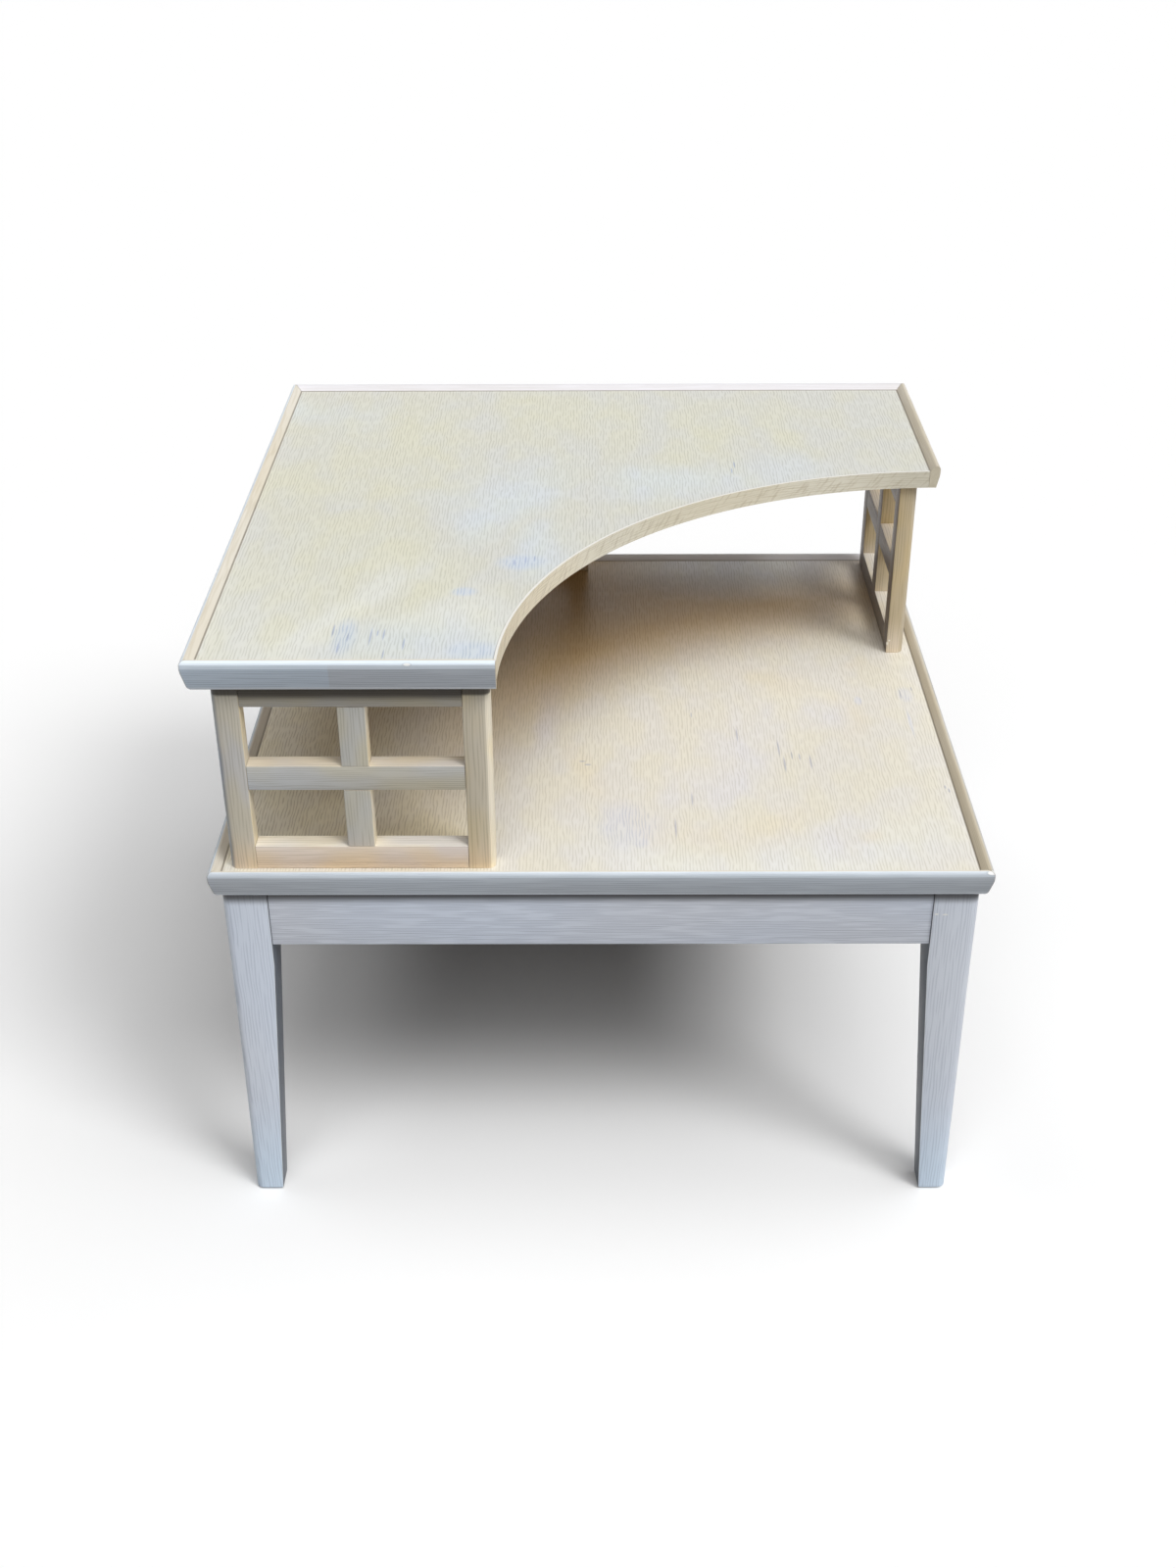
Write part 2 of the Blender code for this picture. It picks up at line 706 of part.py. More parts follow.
def add_lattices():
    """Three alike lattices, each hung on an empty at its foot corner."""
    left_stile = stile_mesh()
    middle = LATTICE_WIDTH / 2
    lower_dowel = dowel_mesh()
    upper_dowel = lower_dowel.copy()
    upper_dowel.transform(Matrix.Translation((0, 0, LATTICE_HEIGHT)) @ Matrix.Rotation(math.pi, 4, "Y"))
    upper_dowel.transform(Matrix.Translation((2 * DOWEL_FROM_END, 0, 0)))
    wooden = {
        "left_stile": left_stile,
        "right_stile": mirrored(left_stile, middle),
        "bottom_rail": outer_rail_mesh(0, BOTTOM_RAIL_HEIGHT, 1),
        "mid_rail": mid_rail_mesh(),
        "top_rail": outer_rail_mesh(TOP_RAIL_LOW, TOP_RAIL_HEIGHT, -1),
        "muntin": muntin_mesh(),
    }
    dowels = {
        "left_foot_dowel": lower_dowel,
        "right_foot_dowel": mirrored(lower_dowel, middle),
        "left_head_dowel": upper_dowel,
        "right_head_dowel": mirrored(upper_dowel, middle),
    }
    for name, corner, turn in lattice_places():
        hanger = bpy.data.objects.new(f"{name}_lattice", None)
        hanger.location = corner
        hanger.rotation_euler.z = turn
        bpy.context.collection.objects.link(hanger)
        for part_name, mesh in wooden.items():
            add_piece(f"{name}_lattice_{part_name}", mesh, OAK_LATTICE).parent = hanger
        for part_name, mesh in dowels.items():
            add_piece(f"{name}_lattice_{part_name}", mesh, RAW_WOOD).parent = hanger


# Assembly


def add_base():
    """Legs, aprons, corner blocks and screws."""
    add_around([f"leg_{corner}" for corner in CORNERS], leg_mesh(), OAK_BASE)
    add_around([f"apron_{side}" for side in SIDES], apron_mesh(), OAK_BASE)
    add_around([f"corner_block_{corner}" for corner in CORNERS], corner_block_mesh(), RAW_WOOD)
    add_around([f"block_screw_{corner}" for corner in CORNERS], screw_mesh(), STEEL, STEEL_ROUGHNESS, 1.0)


def add_lower_deck():
    """Square panel and its four mitred mouldings."""
    add_piece("lower_panel", lower_panel_mesh(), OAK_DECK)
    edge = edge_mesh(LOWER_DECK_HEIGHT, EDGE_HANG)
    add_around([f"lower_edge_{side}" for side in SIDES], edge, OAK_EDGE)


def add_upper_deck():
    """L-shaped panel, curved band, two long mouldings and two short ones."""
    add_piece("upper_panel", upper_panel_mesh(), OAK_DECK)
    add_piece("cutout_band", band_mesh(), OAK_BAND)
    front_edge = edge_mesh(UPPER_DECK_HEIGHT, UPPER_EDGE_HANG, right_cut=HALF_SIDE - CUT_RADIUS)
    long_edge = edge_mesh(UPPER_DECK_HEIGHT, UPPER_EDGE_HANG)
    meshes = (front_edge, right_edge_mesh(), long_edge, long_edge)
    for index, (side, mesh) in enumerate(zip(SIDES, meshes)):
        add_piece(f"upper_edge_{side}", mesh, OAK_EDGE).rotation_euler.z = index * QUARTER_TURN


add_base()
add_lower_deck()
add_lattices()
add_upper_deck()
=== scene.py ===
"""Looks of the two-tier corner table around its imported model: limed oak, floor, light and camera.

Metres, +Z up, front towards -Y, origin on the floor under the middle of the table.
"""

import math

import bpy
from mathutils import Matrix, Vector


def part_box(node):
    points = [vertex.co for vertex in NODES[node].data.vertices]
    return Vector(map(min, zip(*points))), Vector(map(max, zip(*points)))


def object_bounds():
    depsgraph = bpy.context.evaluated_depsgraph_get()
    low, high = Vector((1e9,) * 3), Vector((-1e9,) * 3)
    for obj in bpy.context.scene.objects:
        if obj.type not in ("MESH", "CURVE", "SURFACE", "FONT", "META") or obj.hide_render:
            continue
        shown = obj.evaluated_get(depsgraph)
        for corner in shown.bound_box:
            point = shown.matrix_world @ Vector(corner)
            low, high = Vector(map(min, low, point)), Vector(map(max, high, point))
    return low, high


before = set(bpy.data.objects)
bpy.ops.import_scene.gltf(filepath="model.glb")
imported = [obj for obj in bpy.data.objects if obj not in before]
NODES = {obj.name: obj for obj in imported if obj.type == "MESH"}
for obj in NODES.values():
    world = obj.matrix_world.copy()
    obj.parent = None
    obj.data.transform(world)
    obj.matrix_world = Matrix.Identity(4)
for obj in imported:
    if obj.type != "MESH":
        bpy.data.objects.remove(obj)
cad_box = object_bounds()

# Photograph
IMAGE_LONG_SIDE = 1600
FOCAL_LENGTH_PIXELS = 1900.3
LENS_CENTRE_DROP_PIXELS = 50.9
SENSOR_LONG_SIDE_MM = 36.0
CAMERA_PLACE = (-0.0050, -1.8801, 1.4062)
CAMERA_PITCH = math.radians(32.232)
CAMERA_YAW = math.radians(0.271)
CAMERA_ROLL = math.radians(0.231)

# Light: a lamp as its share of the full light on level ground, the way to it, and the angle it fills
SKY_LEVEL = 0.03
TOP_LAMP = (0.35, Vector((0.37, -0.10, 1.0)).normalized(), math.radians(54))
SIDE_LAMP = (0.27, Vector((0.69, -0.59, 1.0)).normalized(), math.radians(22))
FRONT_LAMP = (0.30, Vector((0.05, -0.75, 1.0)).normalized(), math.radians(52))
LEFT_LAMP = (0.05, Vector((-0.38, 0.10, 1.0)).normalized(), math.radians(20))
FLOOR_HALF_WIDTH = 30.0

# Places on the table
HALF_SIDE = cad_box[1].x
PANEL_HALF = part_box("lower_panel")[1].x
LIP_WIDTH = HALF_SIDE - PANEL_HALF
LOWER_DECK_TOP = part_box("lower_panel")[1].z
UPPER_DECK_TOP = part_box("upper_panel")[1].z
LOWER_RIM_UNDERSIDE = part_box("lower_edge_front")[0].z
UPPER_RIM_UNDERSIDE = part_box("upper_edge_front")[0].z
CUT_RADIUS = HALF_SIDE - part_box("upper_edge_front")[1].x
LATTICE_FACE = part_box("front_lattice_left_stile")[0].y
LATTICE_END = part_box("front_lattice_right_stile")[0].x
SIDES = ("front", "right", "back", "left")
CORNERS = ("front_left", "front_right", "back_right", "back_left")
OUTWARD = {"front": (0, -1, 0), "right": (1, 0, 0), "back": (0, 1, 0), "left": (-1, 0, 0)}
ALONG = {"front": "X", "right": "Y", "back": "X", "left": "Y"}
AXES = {"X": (1, 0, 0), "Y": (0, 1, 0)}
UP = (0, 0, 1)
DOWN = (0, 0, -1)
LEFTWARD = (-1, 0, 0)
RIGHTWARD = (1, 0, 0)


# Node building

BUMP_STRENGTH = 0.5


def paint(red, green, blue):
    """Linear colour of a display colour given from 0 to 255."""
    channels = []
    for channel in (red, green, blue):
        share = channel / 255
        channels.append(share / 12.92 if share <= 0.04045 else ((share + 0.055) / 1.055) ** 2.4)
    return (*channels, 1.0)


class Finish:
    """A material in the making, with short calls for the nodes it needs."""

    def __init__(self, name):
        self.material = bpy.data.materials.new(name)
        self.material.use_nodes = True
        self.tree = self.material.node_tree
        self.shader = self.tree.nodes["Principled BSDF"]

    def add(self, kind, **settings):
        node = self.tree.nodes.new(kind)
        for setting, value in settings.items():
            setattr(node, setting, value)
        return node

    def feed(self, socket, value):
        """Sets a socket to a constant, or links it to another node's output."""
        if isinstance(value, bpy.types.NodeSocket):
            self.tree.links.new(value, socket)
        else:
            socket.default_value = value

    def math(self, operation, *values):
        node = self.add("ShaderNodeMath", operation=operation)
        for socket, value in zip(node.inputs, values):
            self.feed(socket, value)
        return node.outputs[0]

    def vector(self, operation, *values):
        node = self.add("ShaderNodeVectorMath", operation=operation)
        for socket, value in zip(node.inputs, values):
            self.feed(socket, value)
        return node.outputs["Value" if operation in ("DOT_PRODUCT", "LENGTH") else "Vector"]

    def split(self, vector):
        node = self.add("ShaderNodeSeparateXYZ")
        self.feed(node.inputs[0], vector)
        return node.outputs

    def join(self, x, y, z):
        node = self.add("ShaderNodeCombineXYZ")
        for socket, value in zip(node.inputs, (x, y, z)):
            self.feed(socket, value)
        return node.outputs[0]

    def noise(self, vector, stretch, detail=1.0):
        node = self.add("ShaderNodeTexNoise", noise_dimensions="3D")
        self.feed(node.inputs["Vector"], self.vector("MULTIPLY", vector, stretch))
        node.inputs["Scale"].default_value = 1.0
        node.inputs["Detail"].default_value = detail
        return node.outputs["Fac"]

    def between(self, value, start, end):
        """0 at a start value and 1 at an end value, above or below it, with a soft step in between."""
        node = self.add("ShaderNodeMapRange", interpolation_type="SMOOTHSTEP")
        self.feed(node.inputs["Value"], value)
        node.inputs["From Min"].default_value = start
        node.inputs["From Max"].default_value = end
        return node.outputs["Result"]

    def mix(self, share, first, second, blend="MIX"):
        """Blend of two colours, which are the sockets 6 and 7 of the node, with the result at 2."""
        node = self.add("ShaderNodeMix", data_type="RGBA", blend_type=blend)
        self.feed(node.inputs["Factor"], share)
        self.feed(node.inputs[6], first)
        self.feed(node.inputs[7], second)
        return node.outputs[2]

    def layer(self, colour, mask, share, over):
        """Colour with another laid over it where a mask says so, at most by a share."""
        return self.mix(self.math("MULTIPLY", mask, share), colour, over)

    def bump(self, height, depth):
        node = self.add("ShaderNodeBump")
        node.inputs["Strength"].default_value = BUMP_STRENGTH
        node.inputs["Distance"].default_value = depth
        self.feed(node.inputs["Height"], height)
        self.feed(self.shader.inputs["Normal"], node.outputs["Normal"])

    def place(self):
        """Place of the shaded point, in metres."""
        return self.add("ShaderNodeTexCoord").outputs["Object"]

    def facing(self, direction):
        """How squarely the surface faces a direction, from -1 to 1."""
        return self.vector("DOT_PRODUCT", self.add("ShaderNodeNewGeometry").outputs["Normal"], direction)

    def colour(self, value):
        self.feed(self.shader.inputs["Base Color"], value)

    def gloss(self, roughness, shine):
        """Roughness of the surface and how much light it mirrors."""
        self.feed(self.shader.inputs["Roughness"], roughness)
        self.feed(self.shader.inputs["Specular IOR Level"], shine)


# Oak: grain as length and spacing of its lines; surface as pore depth, roughness of ridge and pore, shine

RIDGE_LIGHT = (1.03, 1.03, 1.03, 1.0)
PORE_DEPTH = 0.00010
DEEP_PORE_DEPTH = 0.0002
PORE_STEP = (-0.3, 1.0)
SEED_SHIFT = (0.37, 0.91, 0.53)
WANDERS_PER_LENGTH = 0.6
WANDERS_PER_SPACING = 0.40
WANDER_TURNS = 1.5
BREAKS_PER_SPACING = 0.9
BREAK_SHIFT = (1.3, 4.1, 2.9)
BREAK_STEP = (0.25, 0.55)
THROUGH_SLANT = 1.3
CLOUD_STRETCH = (3.5, 5, 5)
CLOUD_STEP = (0.35, 0.70)
HAZE_SHIFT = (3.1, 1.7, 5.3)
HAZE_STRETCH = (3, 4.5, 4.5)
MOTTLE_STRETCH = (16, 28, 28)
MOTTLE_STEP = (0.35, 0.65)
ANY_HEIGHT = 100


def grain_place(finish, along, seed):
    """Place as (along the grain, across it, through it), shifted so that no two pieces look the same."""
    x, y, z = finish.split(finish.place())
    ordered = {"X": (x, y, z), "Y": (y, x, z), "Z": (z, x, y)}[along]
    return finish.vector("ADD", finish.join(*ordered), tuple(seed * shift for shift in SEED_SHIFT))


def ridges(finish, grain, length, spacing):
    """Fine lines along the grain, a spacing apart, that wander and break off; 1 in a pore, 0 on a ridge."""
    _, across, through = finish.split(grain)
    wander_across = WANDERS_PER_SPACING / spacing
    wander = finish.noise(grain, (WANDERS_PER_LENGTH / length, wander_across, wander_across))
    break_across = BREAKS_PER_SPACING / spacing
    elsewhere = finish.vector("ADD", grain, BREAK_SHIFT)
    breaks = finish.noise(elsewhere, (1 / length, break_across, break_across), detail=0.0)
    side = finish.math("MULTIPLY_ADD", through, THROUGH_SLANT, across)
    turns = finish.math("MULTIPLY_ADD", wander, WANDER_TURNS, finish.math("DIVIDE", side, spacing))
    line = finish.math("SINE", finish.math("MULTIPLY", turns, 2 * math.pi))
    return finish.math("MULTIPLY", finish.between(line, *PORE_STEP), finish.between(breaks, *BREAK_STEP))


class Oak:
    """Pores and soft clouds of one piece of limed oak."""

    def __init__(self, finish, grain, length, spacing):
        self.finish = finish
        self.pore = ridges(finish, grain, length, spacing)
        self.cloud = finish.noise(grain, CLOUD_STRETCH)
        self.haze = finish.noise(finish.vector("ADD", grain, HAZE_SHIFT), HAZE_STRETCH)

    def clouded(self, tones):
        """Colour that drifts from a paler to a deeper tone with the clouds."""
        return self.finish.mix(self.finish.between(self.cloud, *CLOUD_STEP), *tones)

    def fibred(self, colour, dark_tint):
        """Colour with its paler ridges and darker pores drawn in."""
        tint = self.finish.mix(self.pore, RIDGE_LIGHT, dark_tint)
        return self.finish.mix(1.0, colour, tint, "MULTIPLY")

    def surface(self, depth, low, high, shine):
        """Relief of the pores and a satin gloss that varies with them."""
        self.finish.bump(self.pore, -depth)
        self.finish.gloss(self.finish.math("MULTIPLY_ADD", self.pore, high - low, low), shine)


def mottled(finish, grain, colour, tints):
    """Colour that shifts a little between a warm and a cool tint from patch to patch."""
    patch = finish.between(finish.noise(grain, MOTTLE_STRETCH), *MOTTLE_STEP)
    return finish.mix(1.0, colour, finish.mix(patch, *tints), "MULTIPLY")


def spot(finish, place, centre, half_size, core):
    """1 in the core of an oval, fading to 0 at its rim."""
    offset = finish.vector("SUBTRACT", place, centre)
    shaped = finish.vector("DIVIDE", offset, half_size)
    return finish.between(finish.vector("LENGTH", shaped), 1.0, core)


def spots(finish, place, ovals, core=0.35):
    """All ovals of a kind, each a centre and half sizes, as one mask."""
    masks = [spot(finish, place, centre, half_size, core) for centre, half_size in ovals]
    total = masks[0]
    for mask in masks[1:]:
        total = finish.math("MAXIMUM", total, mask)
    return total


def drifted(finish, place, oak, reach):
    """Place moved about by the clouds, so that what is drawn there gets a ragged outline."""
    x, y, z = finish.split(place)
    x = finish.math("MULTIPLY_ADD", oak.cloud, 2 * reach, finish.math("SUBTRACT", x, reach))
    y = finish.math("MULTIPLY_ADD", oak.haze, 2 * reach, finish.math("SUBTRACT", y, reach))
    return finish.join(x, y, z)


def rim_shade(finish, place, underside, start, end):
    """1 in the painted shade down to a start depth below the underside of a rim, fading to 0 at an end
    depth.
    """
    depth = finish.math("SUBTRACT", underside, finish.split(place)[2])
    return finish.between(depth, end, start)


def on_deck(ovals):
    """Ovals on a deck, given by x and y, made to reach through any height."""
    return [((x, y, 0), (half_x, half_y, ANY_HEIGHT)) for x, y, half_x, half_y in ovals]


# Decks: ovals as middle x, middle y, half width, half depth

UPPER_WARM = (
    (-0.27, 0.22, 0.15, 0.18),
    (-0.04, 0.23, 0.10, 0.14),
    (0.12, 0.23, 0.08, 0.15),
    (-0.29, -0.14, 0.10, 0.15),
    (-0.19, -0.24, 0.08, 0.14),
    (0.23, 0.20, 0.05, 0.12),
    (-0.29, 0.09, 0.12, 0.18),
    (-0.33, -0.20, 0.06, 0.20),
)
UPPER_COOL = (
    (-0.13, 0.04, 0.15, 0.15),
    (-0.16, -0.02, 0.10, 0.11),
    (-0.03, -0.09, 0.08, 0.11),
    (0.12, 0.08, 0.15, 0.10),
    (-0.12, -0.35, 0.14, 0.10),
    (-0.34, 0.31, 0.08, 0.08),
)
UPPER_BLEACHED = (
    (-0.28, -0.30, 0.24, 0.24),
    (-0.12, -0.30, 0.14, 0.16),
)
UPPER_SCUFFS = (
    (-0.079, -0.150, 0.034, 0.026),
    (-0.133, -0.219, 0.017, 0.014),
    (-0.238, -0.316, 0.016, 0.050),
    (-0.118, -0.348, 0.032, 0.028),
)
UPPER_STROKES = (
    (-0.235, -0.319, 0.0013, 0.012),
    (-0.214, -0.317, 0.0012, 0.024),
    (-0.208, -0.310, 0.0010, 0.009),
    (-0.202, -0.313, 0.0012, 0.016),
    (-0.199, -0.354, 0.0010, 0.013),
    (-0.182, -0.333, 0.0013, 0.016),
    (-0.250, -0.305, 0.0013, 0.018),
    (-0.242, -0.340, 0.0013, 0.015),
    (0.152, 0.118, 0.0013, 0.013),
    (0.148, 0.099, 0.0012, 0.011),
    (-0.086, -0.150, 0.0013, 0.010),
    (-0.075, -0.144, 0.0013, 0.012),
    (-0.066, -0.141, 0.0012, 0.010),
)
LOWER_WARM = (
    (0.01, -0.16, 0.04, 0.10),
    (0.13, -0.25, 0.06, 0.09),
    (0.22, 0.03, 0.07, 0.09),
    (0.28, -0.08, 0.04, 0.08),
    (0.20, -0.24, 0.04, 0.07),
    (0.27, -0.31, 0.02, 0.03),
    (0.32, 0.08, 0.02, 0.03),
)
LOWER_COOL = (
    (0.15, -0.11, 0.05, 0.12),
    (-0.045, -0.06, 0.04, 0.14),
    (0.25, -0.07, 0.04, 0.07),
    (0.25, -0.30, 0.03, 0.08),
)
LOWER_BLEACHED = ((0.18, -0.35, 0.40, 0.13),)
LOWER_SCUFFS = (
    (0.026, -0.284, 0.046, 0.060),
    (0.347, -0.003, 0.013, 0.024),
    (0.344, -0.070, 0.003, 0.040),
    (0.292, -0.018, 0.006, 0.014),
    (0.039, -0.314, 0.015, 0.018),
)
LOWER_STROKES = (
    (0.076, -0.289, 0.0014, 0.024),
    (0.095, -0.233, 0.0013, 0.017),
    (0.150, -0.097, 0.0014, 0.019),
    (0.102, -0.051, 0.0010, 0.008),
    (0.193, -0.127, 0.0014, 0.024),
    (0.197, -0.161, 0.0016, 0.022),
    (0.206, -0.142, 0.0012, 0.012),
    (0.214, -0.145, 0.0012, 0.010),
    (0.225, -0.156, 0.0014, 0.020),
    (0.360, -0.209, 0.0013, 0.005),
    (0.363, -0.216, 0.0013, 0.006),
    (0.342, -0.002, 0.0013, 0.014),
    (0.356, 0.010, 0.0013, 0.007),
    (-0.019, -0.154, 0.0045, 0.0020),
    (-0.013, -0.161, 0.0050, 0.0022),
)
# Where a painted sheen lies along the far edge of the lower deck.
FAR_SHEEN_OVALS = ((0.18, PANEL_HALF, 0.23, 0.14),)

# Decks: tones, a coat as its greatest share and its colour, and where the lower deck gets painted light,
# shade and sheen

UPPER_TONES = {
    "pale": paint(212, 212, 202),
    "warm": paint(215, 214, 195),
    "cool": paint(212, 219, 222),
    "bleached": paint(227, 228, 217),
    "scuff": paint(197, 210, 227),
    "stroke": paint(158, 170, 198),
    "underside": paint(170, 147, 112),
    "pore": (0.87, 0.865, 0.85, 1.0),
}
LOWER_TONES = {
    "pale": paint(228, 224, 212),
    "warm": paint(230, 223, 205),
    "cool": paint(225, 223, 222),
    "bleached": paint(231, 231, 225),
    "scuff": paint(216, 218, 226),
    "stroke": paint(178, 178, 188),
    "underside": paint(92, 84, 76),
    "pore": (0.875, 0.865, 0.84, 1.0),
}
DECK_GRAIN = (0.016, 0.0032)
DECK_SURFACE = (PORE_DEPTH, 0.36, 0.52, 0.35)
DECK_MOTTLE = ((1.010, 1.0, 0.970, 1.0), (0.995, 0.995, 1.03, 1.0))
DECK_DRIFT = 0.16
PATCH_SHARE = 0.85
SCUFF_SHARE = 0.90
SCUFF_CORE = 0.3
SCUFFED_RIDGE = 0.5
STROKE_SHARE = 0.75
JOINT_TONE = paint(120, 106, 88)
DECK_JOINT = (0.65, JOINT_TONE)
DECK_JOINT_STEP = (PANEL_HALF - 0.0014, PANEL_HALF - 0.0006)
DECK_UNDERSIDE_PORE = (0.84, 0.80, 0.74, 1.0)
DECK_UNDERSIDE_TURN = (0.5, 0.9)
# Painted light behind the front lattice, painted shade under the upper deck, painted sheen at the far edge,
# painted shade in the pores behind the lattice.
BEHIND_LATTICE_PAINTED_LIGHT = (0.85, paint(254, 246, 220))
UNDER_TIER_PAINTED_SHADE = (1.0, paint(178, 149, 102))
FAR_PAINTED_SHEEN = (0.9, paint(232, 235, 237))
FAR_SHEEN_CORE = 0.2
BEHIND_LATTICE_PORE_SHADE = (0.16, paint(168, 146, 108))
INDOORS_STEP = (LATTICE_FACE, LATTICE_FACE + 0.02)
BESIDE_STEP = (LATTICE_END + 0.02, LATTICE_END)
NEAR_STEP = (LATTICE_FACE + 0.20, LATTICE_FACE + 0.06)
FAR_LEFT_STEP = (-0.45 * HALF_SIDE, -0.75 * HALF_SIDE)
CUT_CENTRE = (HALF_SIDE, -HALF_SIDE, 0.0)
BEHIND_CUT_STEP = (CUT_RADIUS + 0.01, CUT_RADIUS + 0.17)
OFF_LEFT_STEP = (-1.70 * HALF_SIDE, -1.05 * HALF_SIDE)
OFF_RIGHT_STEP = (0.0, -0.45 * HALF_SIDE)
RIGHT_SHELTER = 0.6


def under_tier_shade(finish, place):
    """Painted shade under the upper deck: 1 well behind the curve of the cut-out, 0 before it and at the
    open left, less at the right.
    """
    x, y, _ = finish.split(finish.vector("SUBTRACT", place, CUT_CENTRE))
    reach = finish.vector("LENGTH", finish.join(x, y, 0.0))
    behind = finish.between(reach, *BEHIND_CUT_STEP)
    off_left = finish.between(x, *OFF_LEFT_STEP)
    off_right = finish.between(x, *OFF_RIGHT_STEP)
    off_right = finish.math("MULTIPLY_ADD", off_right, 1 - RIGHT_SHELTER, RIGHT_SHELTER)
    return finish.math("MULTIPLY", behind, finish.math("MULTIPLY", off_left, off_right))


def under_upper_tier(finish, oak, place, colour):
    """Lower deck's colour, with painted light behind the front lattice, painted shade under the upper deck,
    a painted sheen at its far edge and painted shade in the pores behind the lattice.
    """
    x, y, _ = finish.split(place)
    beside = finish.between(x, *BESIDE_STEP)
    indoors = finish.between(y, *INDOORS_STEP)
    behind_lattice = finish.math("MULTIPLY", beside, indoors)
    lit = finish.math("MAXIMUM", finish.between(x, *FAR_LEFT_STEP), finish.between(y, *NEAR_STEP))
    colour = finish.layer(colour, finish.math("MULTIPLY", behind_lattice, lit), *BEHIND_LATTICE_PAINTED_LIGHT)
    colour = finish.layer(colour, under_tier_shade(finish, place), *UNDER_TIER_PAINTED_SHADE)
    colour = finish.layer(colour, spots(finish, place, on_deck(FAR_SHEEN_OVALS), FAR_SHEEN_CORE), *FAR_PAINTED_SHEEN)
    return finish.layer(colour, finish.math("MULTIPLY", behind_lattice, oak.pore), *BEHIND_LATTICE_PORE_SHADE)


def border_line(finish, place):
    """1 along the dark joint between a deck and the lips around it."""
    x, y, _ = finish.split(place)
    reach = finish.math("MAXIMUM", finish.math("ABSOLUTE", x), finish.math("ABSOLUTE", y))
    return finish.between(reach, *DECK_JOINT_STEP)


def deck_finish(name, seed, tones, patches, scuffs, strokes, covered):
    """Veneered deck: grain from front to back, yellowed and greyed clouds, and blue-white scuffs."""
    finish = Finish(name)
    grain = grain_place(finish, "Y", seed)
    oak = Oak(finish, grain, *DECK_GRAIN)
    place = finish.place()
    ragged = drifted(finish, place, oak, DECK_DRIFT)
    colour = tones["pale"]
    for tone, ovals in patches.items():
        colour = finish.layer(colour, spots(finish, ragged, on_deck(ovals), 0.0), PATCH_SHARE, tones[tone])
    if covered:
        colour = under_upper_tier(finish, oak, place, colour)
    rubbed = finish.math("MULTIPLY_ADD", oak.pore, 1 - SCUFFED_RIDGE, SCUFFED_RIDGE)
    worn = finish.math("MULTIPLY", spots(finish, place, on_deck(scuffs), SCUFF_CORE), rubbed)
    colour = finish.layer(colour, worn, SCUFF_SHARE, tones["scuff"])
    colour = finish.layer(colour, spots(finish, place, on_deck(strokes)), STROKE_SHARE, tones["stroke"])
    colour = mottled(finish, grain, colour, DECK_MOTTLE)
    colour = oak.fibred(colour, tones["pore"])
    colour = finish.layer(colour, border_line(finish, place), *DECK_JOINT)
    under = finish.between(finish.facing(DOWN), *DECK_UNDERSIDE_TURN)
    finish.colour(finish.mix(under, colour, oak.fibred(tones["underside"], DECK_UNDERSIDE_PORE)))
    oak.surface(*DECK_SURFACE)
    return finish.material


# Edge mouldings: heights from the deck's top, a chip as its centre and half sizes

LIP_TONES = {
    "front": (paint(226, 219, 206), paint(220, 212, 196)),
    # The right lip is darker as painted shade.
    "right": (paint(200, 191, 173), paint(194, 182, 158)),
    "back": (paint(226, 224, 228), paint(220, 217, 218)),
    "left": (paint(224, 218, 205), paint(220, 211, 192)),
}
FACE_TONES = {
    "upper": (paint(184, 197, 210), paint(174, 184, 195)),
    "lower": (paint(180, 187, 195), paint(171, 176, 182)),
}
# Nose tones: pale from wear, and paler still as a painted highlight in a band from the top of the nose down
# past its shoulder.
NOSE_WEAR_AND_HIGHLIGHT_TONES = {
    "upper": (paint(236, 246, 254), paint(230, 240, 250)),
    "lower": (paint(223, 233, 242), paint(217, 227, 237)),
}
RIGHT_NOSE_WEAR_AND_HIGHLIGHT_TONES = (paint(206, 198, 182), paint(200, 189, 168))
END_TONE = paint(206, 198, 178)
LIP_PORE = (0.93, 0.92, 0.89, 1.0)
FACE_PORE = (0.80, 0.805, 0.82, 1.0)
NOSE_PORE = (0.94, 0.95, 0.96, 1.0)
END_PORE = (0.88, 0.86, 0.82, 1.0)
EDGE_GRAIN = (0.045, 0.0026)
EDGE_SURFACE = (PORE_DEPTH, 0.34, 0.50, 0.35)
DECK_TOPS = {"upper": UPPER_DECK_TOP, "lower": LOWER_DECK_TOP}
NOSE_FOOT = {"upper": 0.0025, "lower": 0.0053}
SHOULDER_FOOT = {"upper": -0.0013, "lower": 0.0010}
SHOULDER_HIGHLIGHT_SHARE = 0.45
BLEND = 0.0006
LIP_JOINT = (0.6, JOINT_TONE)
LIP_JOINT_STEP = (LIP_WIDTH - 0.0012, LIP_WIDTH - 0.0004)
VENEER_JOINT_STEP = (-0.2469, -0.2461)
NEXT_VENEER = (0.7, paint(170, 173, 178))
EAVES = (0.6, paint(226, 232, 240))
EAVES_TURN = (0.30, 0.50)
EDGE_UNDERSIDE = (0.8, paint(120, 112, 100))
EDGE_UNDERSIDE_TURN = (0.75, 0.95)
EDGE_CHIPS = (
    ((-0.1747, -0.380, UPPER_DECK_TOP + 0.0030), (0.006, 0.009, 0.0024)),
    ((0.378, -0.380, LOWER_DECK_TOP + 0.005), (0.008, 0.008, 0.003)),
)
CHIP_RIM = (0.3, paint(150, 158, 166))
CHIP_RIM_STEP = (0.0, 0.3)
CHIP_CORE = (0.9, paint(252, 252, 250))
CHIP_CORE_STEP = (0.3, 0.6)
OUTER_TURN = (0.10, 0.45)
MITRE = (0.35, paint(130, 122, 110))
MITRE_STEP = (0.0012, 0.0004)
END_TURN = (0.70, 0.95)


